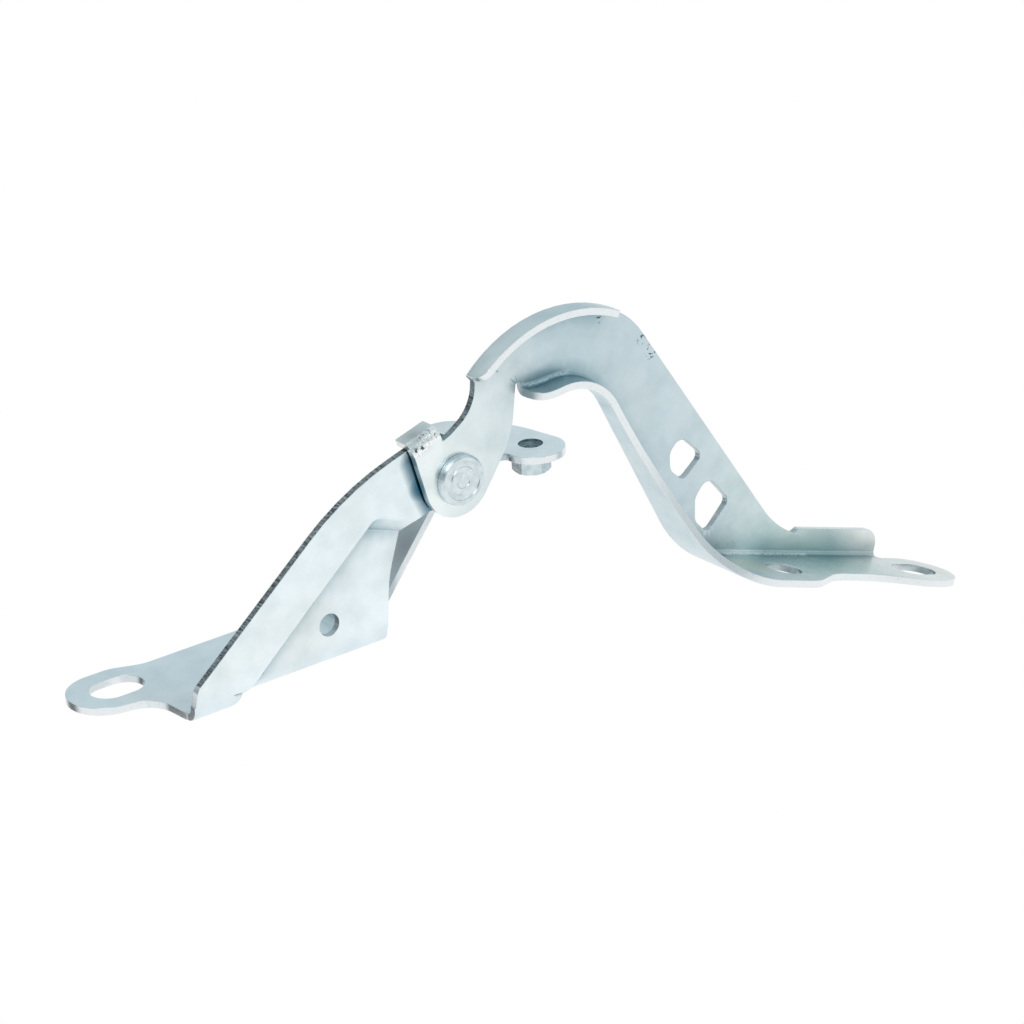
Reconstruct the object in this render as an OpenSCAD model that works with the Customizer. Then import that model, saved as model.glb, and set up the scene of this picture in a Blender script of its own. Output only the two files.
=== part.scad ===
// Bonnet hinge: a body bracket and a gooseneck bonnet arm, two zinc-plated stampings on one rivet.
// Origin: centre of the body bolt slot on the underside of the bracket's base plate.
// +Z is square to the base plate, +X runs along it to the bonnet end, +Y is the pivot axis.

/* [Sheet] */
// Thickness of both stampings
sheet_t = 2.5; // [2:0.1:3.2]
// Inside radius of the long flange bends
bend_r = 1.5; // [1:0.1:2.5]

/* [Pivot] */
// Height of the pivot axis over the underside of the base plate
pivot_h = 51.5; // [46:0.5:60]
// Distance from the slot centre to the pivot axis, along the base plate
pivot_x = 106; // [98:0.5:118]
// Distance from the slot centre to the arm's outer face, along the pivot axis
pivot_y = 38.6; // [35:0.2:44]
// Diameter of the rivet's head
rivet_head_d = 16.5; // [15:0.5:18]
// Height of the rivet's head
rivet_head_h = 2.3; // [1.5:0.1:3]
// Depth of the rings coined in the rivet's head
rivet_coin = 0.25; // [0.1:0.05:0.4]
// Diameter of the rivet's shoulder, on which the arm turns
rivet_shoulder_d = 10; // [9:0.5:11]
// Diameter of the rivet's shank in the bracket
rivet_shank_d = 8; // [6:0.5:8.5]
// Diameter of the peened tail
rivet_tail_d = 12.5; // [11:0.5:14]
// Height of the peened tail
rivet_tail_h = 2.2; // [1.5:0.1:3]
// Wall of the plain bush in the arm
bush_wall = 1; // [0.7:0.1:1.5]
// Radial running clearance of the rivet's shoulder
run_clear = 0.05; // [0.02:0.01:0.1]
// Side play of the arm at each of its faces
side_play = 0.1; // [0.05:0.05:0.2]
// Thickness of the thrust washer between arm and bracket
washer_t = 0.6; // [0.4:0.1:1.2]
// Outside diameter of the thrust washer
washer_d = 20; // [16:0.5:22]

/* [Arm at rest] */
// Angle of the bonnet flange below the base plate, arm against its stop
rest_angle = 17.6; // [12:0.2:24]

/* [Arm eye and stop tab] */
// Radius of the eye round the pivot
eye_r = 12.5; // [11.5:0.1:14]
// Width of the stop tab
stop_tab_w = 11.3; // [8:0.1:12]
// Distance of the tab's middle from the pivot, along the bracket's stop edge
stop_tab_at = 6.6; // [6:0.1:9]
// How far the tab stands past the bracket's sheet
stop_tab_past = 2.2; // [1:0.1:4]
// Gap between the tab and the bracket's stop edge
stop_gap = 0.3; // [0.2:0.1:0.6]
// Inside radius of the tab's bend
stop_tab_bend_r = 1; // [0.6:0.1:1.5]

/* [Arm neck and crest] */
// Distance from the pivot to the neck's far edge
neck_reach = 17.8; // [16.5:0.1:20]
// Radius of the bite in the neck above the stop tab
neck_bite_r = 14; // [10:0.5:15]
// Where the crest flange starts, ahead of the pivot
crest_start_x = -5.2; // [-7:0.1:-4]
// Where the crest flange starts, above the pivot
crest_start_z = 33; // [31:0.1:35]
// Rise of the crest flange where it starts
crest_rise = 61; // [56:0.5:66]
// Radius of the crest, on the flange's outer face
crest_r = 49; // [46:0.5:54]
// Fall of the crest flange where it ends
crest_fall = 9; // [6:0.5:12]
// Depth of the crest flange from the web's outer face
crest_flange_w = 7.6; // [6:0.1:10]
// Radius on the crest flange's free corners
crest_corner_r = 4.5; // [1:0.5:6]

/* [Arm throat and leg] */
// Where the throat lip starts, ahead of the pivot
lip_x = 17.8; // [17:0.1:19]
// Height of the lip over the pivot, on the flange's outer face
lip_z = 27.4; // [26:0.1:29]
// Rise of the lip where it starts
lip_rise = 5; // [2:0.5:8]
// Radius of the dip between lip and throat
lip_dip_r = 30; // [20:1:40]
// Angle through which the dip turns up
lip_dip_turn = 21; // [16:0.5:24]
// Radius of the throat's arch, on the flange's outer face
throat_r = 18.4; // [15:0.1:22]
// Fall of the leg's inner edge, from the bonnet flange's plane
leg_fall = 46.5; // [42:0.5:50]
// Radius of the bend from leg to bonnet flange, on the outer face
toe_r = 42; // [34:1:50]
// Depth of the throat flange from the web's outer face
throat_flange_w = 8.2; // [7:0.1:10]
// Radius on the lip's free corner
lip_corner_r = 5; // [3:0.5:6]
// Where the throat flange starts to widen, ahead of the pivot
flare_from = 48; // [44:1:54]
// Fall of the leg's outer edge, from the bonnet flange's plane
leg_outer_fall = 39.6; // [38:0.1:41]

/* [Bonnet flange] */
// Height of the pivot over the underside of the bonnet flange
flange_drop = 25.8; // [23:0.1:29]
// Distance from the pivot to the round bolt hole
bolt_hole_x = 131; // [126:0.5:136]
// Pitch from the round bolt hole to the bolt slot
bolt_pitch = 61.5; // [56:0.5:66]
// Distance of the bolt holes from the web's outer face
bolt_row_y = 16.3; // [14.5:0.1:18]
// Diameter of the round bolt hole
bolt_hole_d = 12.5; // [10:0.5:13.5]
// Length of the bolt slot
bolt_slot_l = 16.5; // [13:0.5:18]
// Sheet left round the bolt slot
bolt_slot_rim = 6.8; // [5:0.1:8]
// Sheet left beside the round bolt hole
bolt_hole_rim = 7.6; // [5:0.1:9]
// Depth of the flange at its waist
waist_w = 21.8; // [19:0.1:24]
// Height of the low rib over the flange
rib_h = 9.1; // [6:0.1:12]
// Distance from the pivot to the end of the rib
rib_end_x = 188.7; // [184:0.1:189]
// Radius on the rib's end
rib_end_r = 5.5; // [2:0.5:7]

/* [Lightening holes] */
// Distance of the upper hole from the pivot, along the flange
light_a_x = 92.4; // [90:0.1:94]
// Height of the upper hole over the pivot
light_a_z = 8.8; // [7:0.1:11]
// Distance of the lower hole from the pivot, along the flange
light_b_x = 108; // [106:0.1:110]
// Height of the lower hole over the pivot
light_b_z = -6.6; // [-8:0.1:-5]
// Corner radius of the holes
light_r = 2.6; // [1:0.1:3]

/* [Body bracket web] */
// Distance of the stop edge from the pivot
stop_edge_h = 17.4; // [17:0.1:19]
// Rise of the stop edge from the base plate
stop_edge_rise = 16.7; // [13:0.1:20]
// Rise of the web's long edge from the base plate
web_rise = 38.7; // [36:0.1:41]
// Distance from the pivot to the corner of the two edges, along the base plate
web_corner_x = 40.3; // [36:0.1:44]
// Radius that blends the two edges
web_corner_r = 95; // [50:5:110]
// Distance from the pivot to the web's front end
web_front_x = 100.4; // [98:0.1:104]
// Distance from the pivot to the web's back end
web_back_x = 23.4; // [21:0.1:26]
// Radius of the boss that carries the rivet
boss_r = 11.5; // [10.5:0.1:12]
// Depth of the recessed panel behind the boss face
panel_recess = 6.6; // [5:0.1:7]
// Slope of the sheet into the recessed panel
panel_slope = 48.5; // [40:0.5:60]
// Diameter of the locating hole in the panel
locate_d = 7.3; // [5:0.1:8]
// Distance of the locating hole from the pivot, along the base plate
locate_x = 45.4; // [43:0.1:48]
// Height of the locating hole over the base plate's underside
locate_h = 13.2; // [11:0.1:16]

/* [Body bracket base] */
// Inside radius of the bend between web and base plate
base_bend_r = 2; // [1.5:0.1:3]
// Width of the body bolt slot
slot_w = 13; // [10:0.5:14]
// Length of the body bolt slot
slot_l = 18; // [15:0.5:20]
// Sheet left round the slot's end
slot_rim = 6.3; // [5:0.1:8]
// Distance of the base plate's back edge from the arm's outer face
base_back_y = 47; // [45:0.5:50]
// Distance from the pivot to the foot of the strut, along the base plate
strut_foot_x = 29.4; // [28:0.1:32]
// Rise of the strut
strut_rise = 50.5; // [46:0.5:56]
// Distance of the strut's near edge from the arm's outer face
strut_near_y = 14; // [13:0.1:17]
// Distance of the strut's back edge from the arm's outer face
strut_back_y = 36; // [32:0.5:40]
// Outside radius of the strut's bends
strut_bend_r = 6; // [4:0.5:9]

/* [Nut tab] */
// Depth of the tab's upper face below the pivot
tab_drop = 7.3; // [6:0.1:9]
// Distance of the nut from the pivot, along the base plate
nut_x = 43.7; // [42:0.1:48]
// Distance of the nut from the arm's outer face
nut_y = 20.2; // [18:0.1:24]
// Radius of the tab's round end
tab_end_r = 10.1; // [9.5:0.1:11]
// Distance from the nut to the tab's near edge
tab_near = 12.7; // [11.5:0.1:14]
// Distance of the tab's back edge from the arm's outer face
tab_back_y = 57; // [52:0.5:60]
// Diameter of the hole for the nut's collar
nut_hole_d = 8; // [7:0.1:9]
// Clearance round the nut's collar
nut_collar_clear = 0.1; // [0.05:0.05:0.2]
// Width across flats of the weld nut
nut_af = 11; // [10:0.5:13]
// Height of the weld nut
nut_h = 5.6; // [4:0.1:6]
// Core diameter of the nut's M6 thread
nut_core_d = 5; // [4.5:0.1:5.5]

/* [Hidden] */
$fn = 96;
eps = 0.01;
// Width in which neighbouring runs of one stamping share the same sheet
lap = 1;
// A web's edge stands back this much from the end of the bend it runs into
edge_inset = 0.15;
// Angle that one segment of a drawn corner spans
corner_step = 5;
// Angle that one segment of a bend in the sheet spans
bend_step = 10;
// Longer than anything that a cut has to clear
reach = 200;

zinc = "#cfdbe0";
zinc_bright = "#dfe6e8";
bronze = "#b08d57";
polymer = "#3b3f42";

fold_r = bend_r + sheet_t;
stop_fold_r = stop_tab_bend_r + sheet_t;
base_fold_r = base_bend_r + sheet_t;
// Face of the bracket's boss, behind the arm's outer face
boss_y = sheet_t + washer_t + 2 * side_play;
base_z = -pivot_h;
slot_at = [-pivot_x, pivot_y];

// Paths: a run is [0, length], an arc is [radius, turn], left turns positive.
function line(length) = [0, length];
function arc(r, turn) = [r, turn];
function left(h) = [-sin(h), cos(h)];
function along(h) = [cos(h), sin(h)];
function centre(p, h, s) = p + sign(s[1]) * s[0] * left(h);
function step_end(p, h, s) =
    s[0] == 0 ? p + s[1] * along(h) : centre(p, h, s) - sign(s[1]) * s[0] * left(h + s[1]);
function step_heading(h, s) = s[0] == 0 ? h : h + s[1];
function step_stations(p, h, s) =
    s[0] == 0
    ? [[step_end(p, h, s), h]]
    : let (n = ceil(abs(s[1]) / corner_step))
      [for (i = [1:n]) let (g = h + s[1] * i / n) [centre(p, h, s) - sign(s[1]) * s[0] * left(g), g]];
// Points and headings along a path
function stations(steps, p, h, i = 0) =
    i == len(steps)
    ? []
    : concat(i == 0 ? [[p, h]] : [],
             step_stations(p, h, steps[i]),
             stations(steps, step_end(p, h, steps[i]), step_heading(h, steps[i]), i + 1));
// Points of a path, moved off to its left
function beside(at, off) = [for (q = at) q[0] + off * left(q[1])];

function unit(v) = v / norm(v);
function angle(p) = atan2(p.y, p.x);
function arc_points(c, r, from, to, step = corner_step) =
    let (n = ceil(abs(to - from) / step))
    [for (i = [0:n]) c + r * along(from + (to - from) * i / n)];
function xy(p) = [p.x, p.y];
function wrap(a) = a > 180 ? a - 360 : a < -180 ? a + 360 : a;
// Arc that rounds corner b, between neighbours a and c
function corner(a, b, c) =
    let (u = unit(xy(a) - xy(b)), v = unit(xy(c) - xy(b)), half = acos(u * v) / 2)
    len(b) < 3 || b[2] == 0 || half > 89.9
    ? [xy(b)]
    : let (m = xy(b) + unit(u + v) * b[2] / sin(half),
           d = b[2] / tan(half),
           p = xy(b) + u * d - m,
           q = xy(b) + v * d - m,
           from = angle(p))
      arc_points(m, b[2], from, from + wrap(angle(q) - from));
// Outline of [x, y, radius] corners
function rounded(pts) =
    let (n = len(pts))
    [for (i = [0:n - 1]) each corner(pts[(i + n - 1) % n], pts[i], pts[(i + 1) % n])];
// Point at which a line from p touches a circle round the origin
function touch_angle(p, r, side) = angle(p) + side * acos(r / norm(p));

// Joins one section of [left of the path, height] points at each station of a path.
// A section runs down one face of the sheet and back up the other, point for point.
module swept(at, sections) {
    n = len(sections[0]);
    last = len(at) - 1;
    polyhedron(
        points = [for (i = [0:last]) for (c = sections[i])
            let (v = at[i][0] + c.x * left(at[i][1])) [v.x, v.y, c.y]],
        faces = concat(
            [for (j = [0:n / 2 - 2]) [j, j + 1, n - 2 - j, n - 1 - j]],
            [for (j = [0:n / 2 - 2]) [for (k = [n - 1 - j, n - 2 - j, j + 1, j]) last * n + k]],
            [for (i = [0:last - 1]) for (j = [0:n - 1]) let (k = (j + 1) % n)
                [i * n + j, (i + 1) * n + j, (i + 1) * n + k]],
            [for (i = [0:last - 1]) for (j = [0:n - 1]) let (k = (j + 1) % n)
                [i * n + j, (i + 1) * n + k, i * n + k]]));
}

// Stands a stamping drawn flat, outer face up, on the pivot axis
module at_pivot() {
    translate([pivot_x, -pivot_y, pivot_h])
        rotate([90, 0, 0])
            children();
}

// Cuts a drawn stamping to its plan, with depth away from the viewer
module plan_back(points) {
    translate([0, -reach, 0])
        rotate([-90, 0, 0])
            linear_extrude(2 * reach)
                polygon(points);
}

// Section of a sheet that turns from a web into a flange; the flange's outer face is on the axis.
// The web lies to the right of it, and the flange rises on the web's face at height zero.
function fold_face(depth, off, r_in, r) =
    let (r_out = r_in + sheet_t)
    concat(
        [[off, depth]],
        arc_points([-r_out, r_in], r, 0, -90, bend_step),
        [[-r_out - lap, r_in - r]]);
function fold_right(depth, r_in) = concat(
    fold_face(depth, -sheet_t, r_in, r_in),
    turned(fold_face(depth, 0, r_in, r_in + sheet_t)));
// The same, with the web to the left
function fold_left(depth, r_in) = turned([for (q = fold_right(depth, r_in)) [-q.x, q.y]]);
function turned(v) = [for (i = [len(v) - 1:-1:0]) v[i]];

// Slot with round ends, centred, along x
module slot_shape(run, width) {
    for (end = [-1, 1])
        translate([end * run / 2, 0])
            circle(d = width);
    square([run, width], center = true);
}

// Bonnet arm, drawn flat: x along the bonnet flange, y up from the pivot, z towards the viewer

// A rounded free corner takes its own short steps
corner_turn = 0.7;
corner_turns = 8;
function corner_steps(r, turn) = [for (i = [1:corner_turns]) arc(r, turn)];
// Depth that a rounded corner takes off a flange, at a distance from its end
function corner_off(s, r) = s < r ? r - sqrt(r * r - (r - s) * (r - s)) : 0;

crest_turn = crest_rise + crest_fall - corner_turns * corner_turn;
crest_steps = concat(corner_steps(crest_r, -corner_turn), [arc(crest_r, -crest_turn)]);
crest_from = [crest_start_x, crest_start_z];
crest_at = stations(crest_steps, crest_from, crest_rise);
crest_to = crest_at[len(crest_at) - 1][0];

lip_from = [lip_x, lip_z];
arch_rise = lip_rise + lip_dip_turn;
lip_step = lip_dip_turn / (corner_turns + 4);
arch_arc = arc(throat_r, -(arch_rise + leg_fall));
arch_from = step_end(lip_from, lip_rise, arc(lip_dip_r, lip_dip_turn));
leg_from = step_end(arch_from, arch_rise, arch_arc);
toe_tangent = toe_r * tan(leg_fall / 2);
toe_lead = 12;
leg_run = (leg_from.y + flange_drop) / sin(leg_fall) - toe_tangent;
toe_to_x = leg_from.x + (leg_run + toe_tangent) * cos(leg_fall) + toe_tangent;
leg_parts = 12;
throat_steps = concat(
    corner_steps(lip_dip_r, lip_step),
    [arc(lip_dip_r, lip_dip_turn - corner_turns * lip_step), arch_arc],
    [for (i = [1:leg_parts]) line(leg_run / leg_parts)],
    [arc(toe_r, leg_fall), line(toe_lead), line(rib_end_x - toe_to_x - toe_lead)]);
throat_at = stations(throat_steps, lip_from, lip_rise);

// Stop tab: its run lies along the bracket's stop edge when the arm is at rest
stop_heading = stop_edge_rise + rest_angle;
stop_outer_h = stop_edge_h + stop_gap + sheet_t;
stop_reach = boss_y + sheet_t + stop_tab_past;
function on_stop(s, h) = s * along(stop_heading) + h * left(stop_heading);
stop_left = -stop_tab_at - stop_tab_w / 2;
stop_right = stop_left + stop_tab_w;

flange_top = sheet_t - flange_drop;
rib_top = flange_top + rib_h;
bolt_slot_x = bolt_hole_x + bolt_pitch;
bolt_slot_run = bolt_slot_l - bolt_hole_d;
slot_lobe_r = bolt_hole_d / 2 + bolt_slot_rim;
bulge_w = bolt_row_y + bolt_hole_d / 2 + bolt_hole_rim;

// Outer edge of the leg, worked back from the rib's toe
rib_toe = [rib_end_x - 37.7, rib_top];
leg_toe = [rib_toe.x - 11.4, rib_top + 0.6];
shoulder_x = crest_to.x + 11.2;
shoulder = [shoulder_x, leg_toe.y + (leg_toe.x - shoulder_x) * tan(leg_outer_fall)];
crest_end_step = 0.8;

module arm_outline() {
    neck = [neck_reach, 14.2];
    lip_in = beside(throat_at, fold_r + lap / 2);
    crest_in = beside(crest_at, -fold_r - lap / 2);
    tab_h = stop_outer_h - stop_fold_r - lap / 2;
    tab_corner = on_stop(stop_left + edge_inset, tab_h);
    bite = [crest_in[0].x + 2.2, crest_in[0].y - 8];
    edge_end = crest_to + crest_end_step * left(-crest_fall + 180);
    eye = arc_points([0, 0], eye_r, touch_angle(tab_corner, eye_r, 1), 360 + touch_angle(neck, eye_r, -1));
    neck_top = [lip_x - 2.6, lip_in[0].y - 0.8];
    polygon(rounded(concat(
        eye,
        [[neck.x, neck.y, 25], [neck_top.x, neck_top.y, 0.9]],
        lip_in,
        [[rib_end_x, rib_top, rib_end_r], [rib_toe.x, rib_toe.y, 1], [rib_toe.x - 2, rib_top - 1.6, 0.8]],
        [[leg_toe.x, leg_toe.y, 36], [shoulder.x, shoulder.y, 30], edge_end],
        turned(crest_in),
        [[bite.x, bite.y, neck_bite_r]],
        [concat(on_stop(stop_right + 3.4, tab_h - 0.9), [1.2])],
        [concat(on_stop(stop_right - edge_inset, tab_h - 1.3), [0.6])],
        [on_stop(stop_right - edge_inset, tab_h), tab_corner])));
}

// Hole with the shape of a leaning kite
module light_hole(x, z, w, h) {
    translate([x, z])
        polygon(rounded([
            [-w * 0.26, h * 0.52, light_r * 1.4],
            [w * 0.55, h * 0.10, light_r],
            [w * 0.10, -h * 0.52, light_r],
            [-w * 0.36, -h * 0.30, light_r * 1.6],
            [-w * 0.50, h * 0.12, light_r * 1.8]]));
}

module arm_web() {
    translate([0, 0, -sheet_t])
        linear_extrude(sheet_t)
            difference() {
                arm_outline();
                circle(d = rivet_shoulder_d + 2 * (run_clear + bush_wall));
                light_hole(light_a_x, light_a_z, 14, 14.2);
                light_hole(light_b_x, light_b_z, 14.6, 18.6);
            }
}

module crest_flange() {
    swept(crest_at, [for (q = crest_at)
        fold_right(crest_flange_w - corner_off(norm(q[0] - crest_from), crest_corner_r), bend_r)]);
}

// Depth of the throat flange: it widens down the leg towards the round bolt hole
function ease(u) = let (v = pow(min(max(u, 0), 1), 1.2)) v * v * (3 - 2 * v);
function throat_depth(x) =
    throat_flange_w + (bulge_w - throat_flange_w) * ease((x - flare_from) / (bolt_hole_x - 8 - flare_from));
// Past the toe the fold only carries the edge of the flat flange
function fold_depth(p) =
    p.x > toe_to_x + eps
    ? bend_r + 2 * lap
    : throat_depth(p.x) - corner_off(norm(p - lip_from), lip_corner_r);

// Plan of the flat bonnet flange, as depth from the web's outer face
flange_plan = concat(
    [[toe_to_x - eps, bend_r + lap], [toe_to_x - eps, throat_depth(toe_to_x) - eps]],
    [[bolt_hole_x + 4, bulge_w + 0.4, 14], [bolt_hole_x + 19, waist_w, 16]],
    [[bolt_hole_x + 38, waist_w + 0.8, 40], [bolt_slot_x - 4, bolt_row_y + slot_lobe_r, 20]],
    arc_points([bolt_slot_x + bolt_slot_run / 2, bolt_row_y], slot_lobe_r, 90, -90),
    [[rib_end_x + lap, bolt_row_y - slot_lobe_r], [rib_end_x - lap, bend_r + lap]]);

module bonnet_flange() {
    swept(throat_at, [for (q = throat_at) fold_left(fold_depth(q[0]), bend_r)]);
    translate([0, flange_top, 0])
        rotate([90, 0, 0])
            linear_extrude(sheet_t)
                difference() {
                    polygon(rounded(flange_plan));
                    translate([bolt_hole_x, bolt_row_y])
                        circle(d = bolt_hole_d);
                    translate([bolt_slot_x, bolt_row_y])
                        slot_shape(bolt_slot_run, bolt_hole_d);
                }
}

module stop_tab() {
    back_fold = [for (q = fold_right(stop_reach - sheet_t, stop_tab_bend_r)) [q.x, -sheet_t - q.y]];
    from = on_stop(stop_left, stop_outer_h);
    translate([from.x, from.y, 0])
        rotate([0, 0, stop_heading])
            rotate([90, 0, 90])
                linear_extrude(stop_tab_w)
                    polygon(back_fold);
}

module bonnet_arm() {
    color(zinc)
        at_pivot()
            rotate([0, 0, -rest_angle]) {
                arm_web();
                crest_flange();
                bonnet_flange();
                stop_tab();
            }
}

// Body bracket, drawn flat: x along the base plate, y up from the pivot, z towards the viewer

// Break line of the recessed panel: it runs up the web, turns and runs out below the boss
break_rise = web_rise + 0.7;
break_fall = 19.5;
break_corner = [-29.7, -4.8];
break_corner_r = 5;
break_turns = 4;
break_hub = break_corner - break_corner_r / cos((break_rise + break_fall) / 2)
    * left((break_rise - break_fall) / 2);
slope_bend_r = 0.9;

// Sheet with the slope across the break line: boss face on the left of it, panel on the right
module slope_section() {
    shift = sheet_t * tan(panel_slope / 2);
    foot = panel_recess / tan(panel_slope);
    slope_r_out = slope_bend_r + sheet_t;
    polygon(rounded([
        [reach, 0], [0, 0, slope_r_out], [-foot, -panel_recess, slope_bend_r], [-reach, -panel_recess],
        [-reach, -panel_recess - sheet_t], [shift - foot, -panel_recess - sheet_t, slope_r_out],
        [shift, -sheet_t, slope_bend_r], [reach, -sheet_t]]));
}

// The sloped sheet on every side of the break line's corner, each in its own sector
module sloped_sheet() {
    span = break_rise + break_fall;
    pitch = span / break_turns;
    behind = 270 + (break_rise - break_fall) / 2;
    for (i = [0:break_turns]) {
        h = break_rise - i * pitch;
        p = break_hub + break_corner_r * left(h) - reach * along(h);
        from = i == break_turns ? behind - 360 : h + 90 - pitch / 2;
        to = i == 0 ? behind : h + 90 + pitch / 2;
        intersection() {
            translate([p.x, p.y, 0])
                rotate([0, 0, h])
                    rotate([90, 0, 90])
                        linear_extrude(2 * reach)
                            slope_section();
            translate([0, 0, -reach / 2])
                linear_extrude(reach)
                    polygon([break_hub, break_hub + reach * along(from),
                             break_hub + reach * along((from + to) / 2), break_hub + reach * along(to)]);
        }
    }
}

web_front_end = -web_front_x;
web_back_end = -web_back_x;
base_fold_top = base_z + base_fold_r;
function on_stop_edge(x) = [x, (stop_edge_h + x * sin(stop_edge_rise)) / cos(stop_edge_rise)];
web_corner = on_stop_edge(-web_corner_x);
web_front_top = web_corner + (web_front_end + 1.6 + web_corner_x) * [1, tan(web_rise)];

module bracket_outline() {
    boss_top = on_stop_edge(-5.5);
    boss = arc_points([0, 0], boss_r, touch_angle(boss_top, boss_r, -1), -126);
    polygon(rounded(concat(
        [[web_front_end + edge_inset, base_fold_top + lap / 2], [web_front_top.x, web_front_top.y, 4]],
        [concat(web_corner, [web_corner_r]), concat(boss_top, [5])],
        boss,
        [[-10.4, -9, 2], [-14.4, -10.8, 4], [-17.1, -15.8, 8]],
        [[web_back_end + 1.6, -29.5, 40], [web_back_end - edge_inset, base_fold_top + lap / 2]])));
}

module bracket_web() {
    deep = panel_recess + sheet_t;
    difference() {
        intersection() {
            translate([0, 0, -deep])
                linear_extrude(deep)
                    bracket_outline();
            sloped_sheet();
        }
        translate([0, 0, -2 * deep])
            cylinder(d = rivet_shank_d, h = 3 * deep);
        translate([-locate_x, base_z + locate_h, -2 * deep])
            cylinder(d = locate_d, h = 3 * deep);
    }
}

// Bend between web and base plate; it steps back with the recessed panel
fold_turn = 60;
fold_bend_r = panel_recess / (2 * (1 - cos(fold_turn)));
fold_step_from = -86.5;
fold_end = web_back_end - 0.5;
fold_step_w = 2 * fold_bend_r * sin(fold_turn);
fold_steps = [
    line(fold_step_from - web_front_end),
    arc(fold_bend_r, fold_turn),
    arc(fold_bend_r, -fold_turn),
    line(fold_end - fold_step_from - fold_step_w)];

module bracket_fold() {
    fold_at = stations(fold_steps, [web_front_end, 0], 0);
    // The path lies in the base plate's plane, seen from above, with the base plate on its left
    translate([0, base_z, 0])
        rotate([-90, 0, 0])
            swept(fold_at, [for (q = fold_at) base_fold_section]);
}

// Section of that bend: web's outer face on the axis, base plate to the left
function base_fold_face(off, r) =
    concat(
        [[off, base_fold_r + lap]],
        arc_points([base_fold_r, base_fold_r], r, 180, 270, bend_step),
        [[base_fold_r + 2 * lap, off]]);
// Bending draws the sheet a little thinner
bend_thin = 0.02;
base_fold_section = concat(
    base_fold_face(bend_thin, base_fold_r - bend_thin),
    turned(base_fold_face(sheet_t - bend_thin, base_bend_r + bend_thin)));

// Base plate, strut and nut tab: one strip that steps up behind the pivot
tab_z = -tab_drop;
strut_top_x = -strut_foot_x + (tab_z - sheet_t - base_z) / tan(strut_rise);
strut_tangent = strut_bend_r * tan(strut_rise / 2);
strut_run = (tab_z - sheet_t - base_z) / sin(strut_rise) - 2 * strut_tangent;
deck_front = slot_at.x - slot_l;
deck_steps = [
    line(-strut_foot_x - strut_tangent - deck_front),
    arc(strut_bend_r, strut_rise),
    line(strut_run),
    arc(strut_bend_r + sheet_t, -strut_rise),
    line(nut_x + 2 * tab_end_r - strut_top_x)];

slot_end_r = slot_w / 2 + slot_rim;
slot_half = (slot_l - slot_w) / 2;
deck_near = boss_y + base_fold_r + lap;
deck_near_back = deck_near + panel_recess;
slot_end_x = slot_at.x - slot_half - 1;
tab_far = [nut_x - 6.9, tab_back_y - 2];
tab_end = [nut_x - 0.6, nut_y - tab_near + tab_end_r];

deck_plan = concat(
    [[web_front_end - 0.6, deck_near], [web_front_end - 0.6, slot_at.y - slot_end_r, 10]],
    arc_points([slot_end_x, slot_at.y], slot_end_r, 270, 90),
    [[slot_at.x + 5, slot_at.y + slot_end_r, 12], [slot_at.x + 15, base_back_y, 12]],
    [[-strut_foot_x - 4, base_back_y, 10], [-16, strut_back_y, 12], [10, strut_back_y, 14]],
    [[tab_far.x - 8, tab_back_y, 7], [tab_far.x, tab_far.y, 8]],
    [[nut_x + 6.3, nut_y + 17, 30]],
    arc_points(tab_end, tab_end_r, 15, -180),
    [[tab_end.x - tab_end_r, tab_end.y + 2.2, 2], [18, strut_near_y + 5, 10], [10, strut_near_y, 8]],
    [[fold_end - 8, strut_near_y], [fold_end - 9, deck_near_back]],
    [[fold_step_from + fold_step_w + 1, deck_near_back, 4], [fold_step_from + 1, deck_near, 4]]);

module bracket_deck() {
    deck_at = stations(deck_steps, [deck_front, base_z], 0);
    difference() {
        intersection() {
            translate([0, 0, -reach])
                linear_extrude(reach)
                    polygon(concat(beside(deck_at, 0), turned(beside(deck_at, sheet_t))));
            plan_back(rounded(deck_plan));
        }
        translate([slot_at.x, base_z - sheet_t, -slot_at.y])
            rotate([-90, 0, 0])
                linear_extrude(3 * sheet_t)
                    slot_shape(2 * slot_half, slot_w);
        translate([nut_x, tab_z - 2 * sheet_t, -nut_y])
            rotate([-90, 0, 0])
                cylinder(d = nut_hole_d, h = 3 * sheet_t);
    }
}

module body_bracket() {
    color(zinc)
        at_pivot() {
            translate([0, 0, -boss_y]) {
                bracket_web();
                bracket_fold();
            }
            bracket_deck();
        }
}

module pivot_rivet() {
    head_r = rivet_head_d / 2;
    shoulder_r = rivet_shoulder_d / 2;
    shank_r = rivet_shank_d / 2;
    tail_r = rivet_tail_d / 2;
    chamfer = 0.7;
    ring = [for (share = [0.28, 0.54, 0.76]) share * head_r];
    top = side_play + rivet_head_h;
    sunk = top - rivet_coin;
    back = -boss_y - sheet_t;
    color(zinc_bright)
        at_pivot()
            rotate_extrude()
                polygon(rounded([
                    [0, sunk], [ring[0], sunk], [ring[0] + rivet_coin, top],
                    [ring[1], top], [ring[1] + rivet_coin, sunk],
                    [ring[2], sunk], [ring[2] + rivet_coin, top],
                    [head_r - chamfer, top, 0.3],
                    [head_r, top - chamfer, 0.4],
                    [head_r, side_play],
                    [shoulder_r, side_play],
                    [shoulder_r, -boss_y],
                    [shank_r, -boss_y],
                    [shank_r, back],
                    [tail_r, back],
                    [tail_r, back - rivet_tail_h * 0.45, 0.6],
                    [tail_r * 0.62, back - rivet_tail_h, 1.2],
                    [0, back - rivet_tail_h]]));
}

module pivot_bush() {
    bore = rivet_shoulder_d + 2 * run_clear;
    color(bronze)
        at_pivot()
            translate([0, 0, -sheet_t])
                difference() {
                    cylinder(d = bore + 2 * bush_wall, h = sheet_t);
                    translate([0, 0, -eps])
                        cylinder(d = bore, h = sheet_t + 2 * eps);
                }
}

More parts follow.
